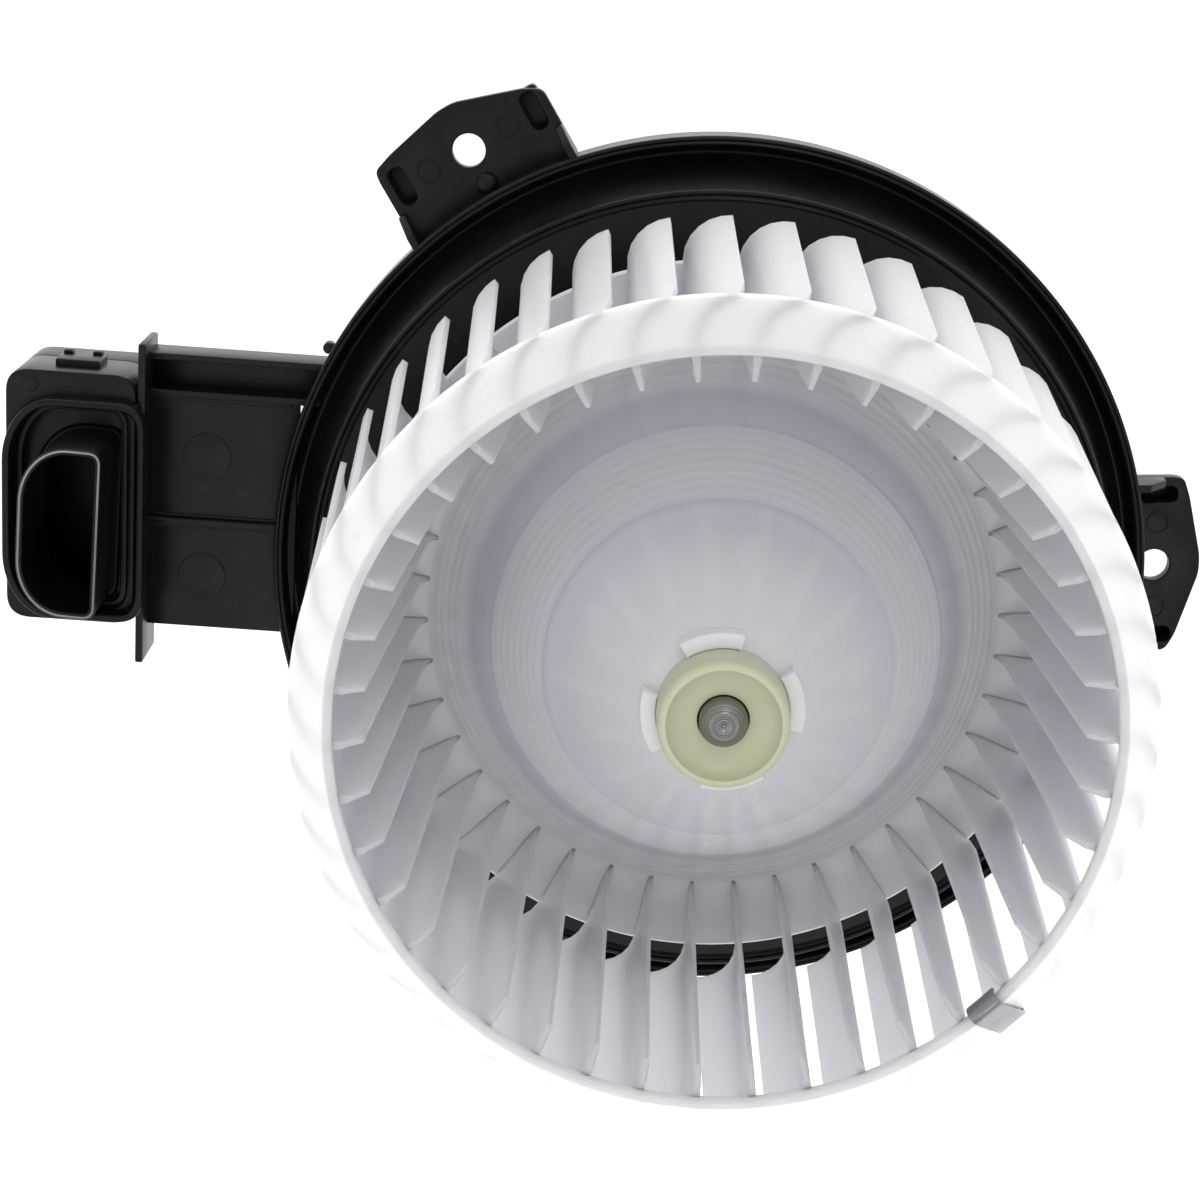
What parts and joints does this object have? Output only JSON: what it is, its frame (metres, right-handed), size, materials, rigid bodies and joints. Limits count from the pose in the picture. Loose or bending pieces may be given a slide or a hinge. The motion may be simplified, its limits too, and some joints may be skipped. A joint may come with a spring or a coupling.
{
  "type": "heater blower motor with squirrel cage wheel",
  "caption": "Vehicle heater blower: forward curved squirrel cage wheel on a brushed motor, held in an eared mounting flange with a side arm and cooling air scoop.",
  "frame": {"origin": "on the shaft's axis at the outer face of the motor's rear cover", "axes": "+Z along the shaft towards the wheel's open inlet, -X towards the side arm with the cooling air scoop"},
  "size_m": [0.2324, 0.1832, 0.1235],
  "materials": {
    "black_plastic": "satin moulded",
    "milky_plastic": "milky satin",
    "cream_nylon": "satin",
    "bright_steel": "ground",
    "zinc_steel": "zinc plated",
    "ferrite": "sintered",
    "lamination": "stacked sheet",
    "copper": "enamelled copper wire",
    "bronze": "sintered",
    "brass": "stamped",
    "carbon": "carbon block",
    "rubber": "matt",
    "card": "hard paper board"
  },
  "bodies": {
    "housing": {"mounting_flange": "black_plastic", "duct_scoop": "black_plastic", "duct_lower_shell": "black_plastic", "motor_rear_cover": "black_plastic", "connector_housing": "black_plastic", "terminal_positive": "brass", "terminal_negative": "brass", "motor_can": "zinc_steel", "end_bracket": "zinc_steel", "magnet_upper": "ferrite", "magnet_lower": "ferrite", "magnet_clip_right": "bright_steel", "magnet_clip_left": "bright_steel", "front_bearing": "bronze", "rear_bearing": "bronze", "brush_card": "card", "brush_holder_right": "brass", "brush_holder_left": "brass", "brush_spring_right": "bright_steel", "brush_spring_left": "bright_steel", "choke_coil_1": "copper", "choke_coil_2": "copper", "isolator_ring": "rubber", "cover_screw_1": "zinc_steel", "cover_screw_2": "zinc_steel", "cover_screw_3": "zinc_steel", "duct_screw_1": "zinc_steel", "duct_screw_2": "zinc_steel"},
    "rotor": {"shaft": "bright_steel", "armature_core": "lamination", "armature_winding": "copper", "commutator": "copper", "wheel_hub": "cream_nylon", "wheel_base_disc": "milky_plastic", "wheel_blade_cage": "milky_plastic", "balance_clip": "bright_steel", "front_thrust_washer": "milky_plastic", "rear_thrust_washer": "milky_plastic"},
    "brush_right_block": {"brush_right": "carbon"},
    "brush_left_block": {"brush_left": "carbon"}
  },
  "joints": [
    {"name": "wheel_spin", "type": "hinge", "parent": "housing", "child": "rotor", "pos_m": [0, 0, 0.05], "axis": [0, 0, 1], "continuous": true},
    {"name": "brush_right_slide", "type": "slide", "parent": "housing", "child": "brush_right_block", "axis": [1, 0, 0], "range_m": [0, 0.002], "stiffness_N_per_m": 200, "springref_m": -0.002, "deforming": ["brush_spring_right"]},
    {"name": "brush_left_slide", "type": "slide", "parent": "housing", "child": "brush_left_block", "axis": [-1, 0, 0], "range_m": [0, 0.002], "stiffness_N_per_m": 200, "springref_m": -0.002, "deforming": ["brush_spring_left"]}
  ]
}
